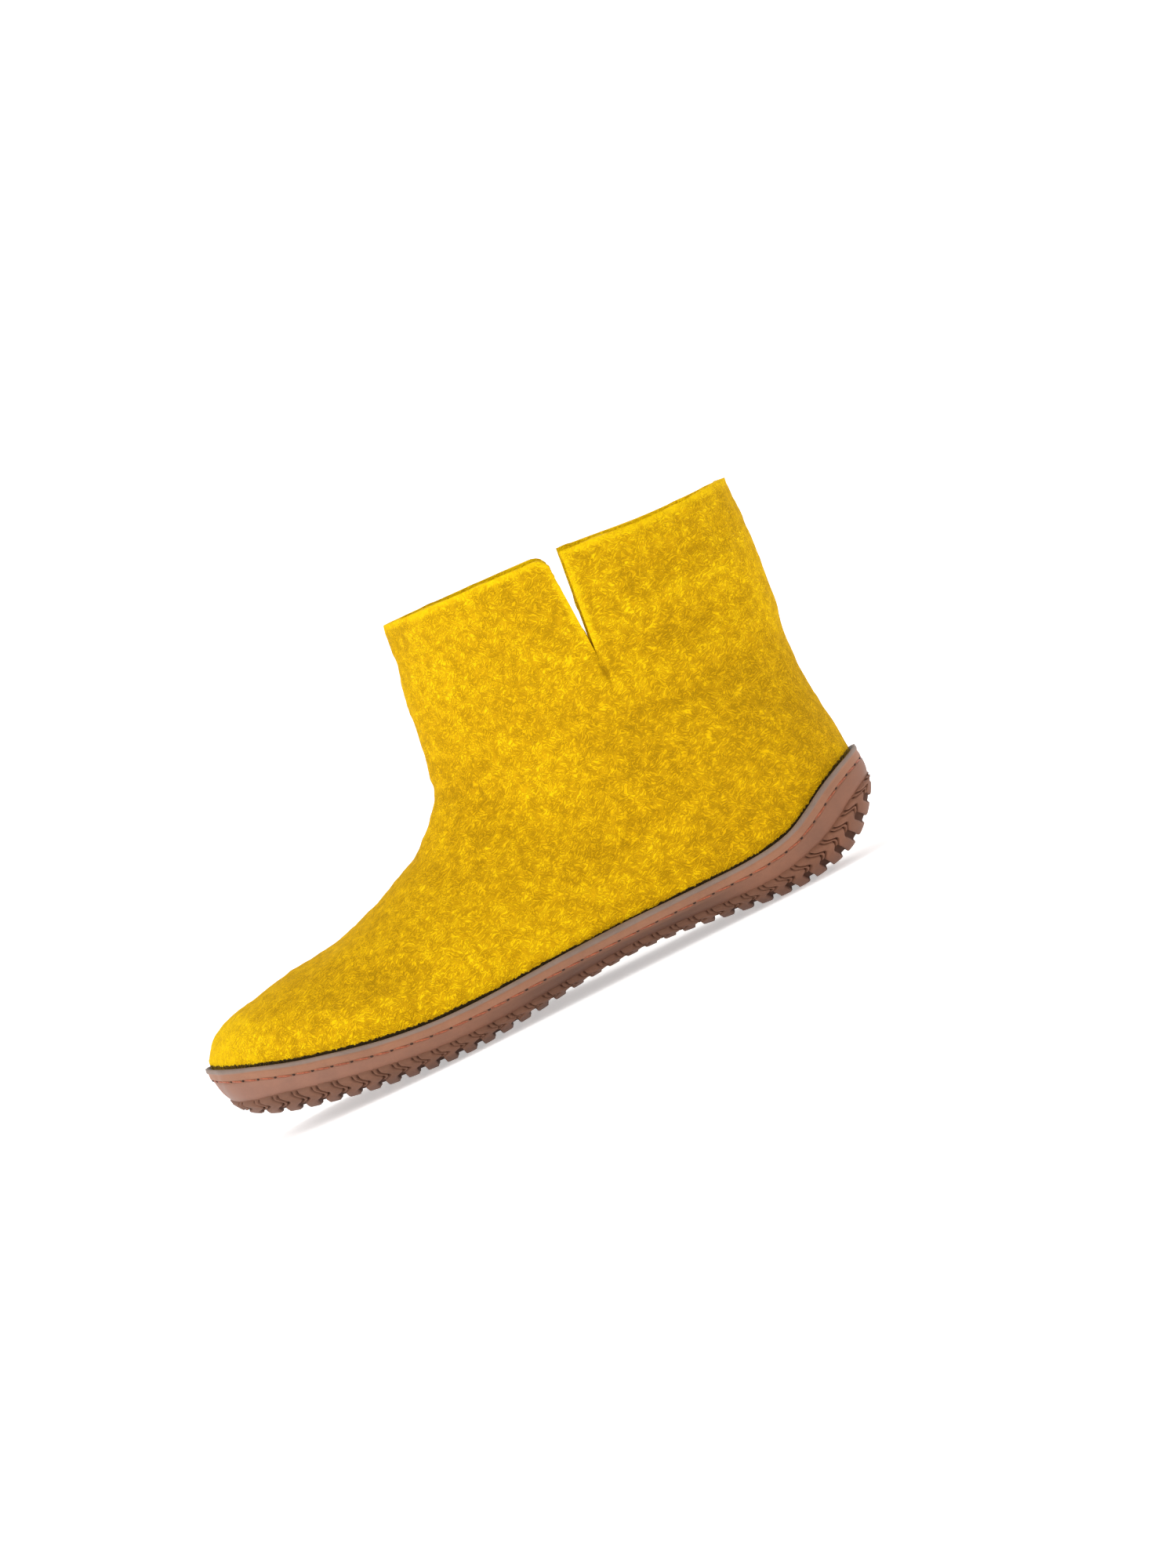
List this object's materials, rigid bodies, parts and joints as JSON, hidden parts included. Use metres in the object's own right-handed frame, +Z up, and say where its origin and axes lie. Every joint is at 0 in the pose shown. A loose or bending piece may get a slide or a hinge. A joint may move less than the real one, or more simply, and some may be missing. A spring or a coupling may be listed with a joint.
{
  "type": "felt ankle boot",
  "caption": "Left ankle-high boot felted whole from yellow wool, slit down each side of its shaft, on a stitched brown rubber cup sole with a zigzag tread.",
  "frame": {"origin": "on the floor, at the middle of the boot's length and width", "axes": "+X toward the toe, +Y toward the boot's left, which is its outer side, +Z up"},
  "size_m": [0.2804, 0.103, 0.1602],
  "materials": {
    "yellow_felt": "thick felted wool, golden yellow, short tangled fibres, no gloss",
    "grey_felt": "grey needled wool felt",
    "brown_rubber": "moulded natural rubber, reddish brown, satin"
  },
  "bodies": {
    "root": {"felt_upper": "yellow_felt", "insole": "grey_felt", "rubber_sole": "brown_rubber"}
  },
  "joints": []
}
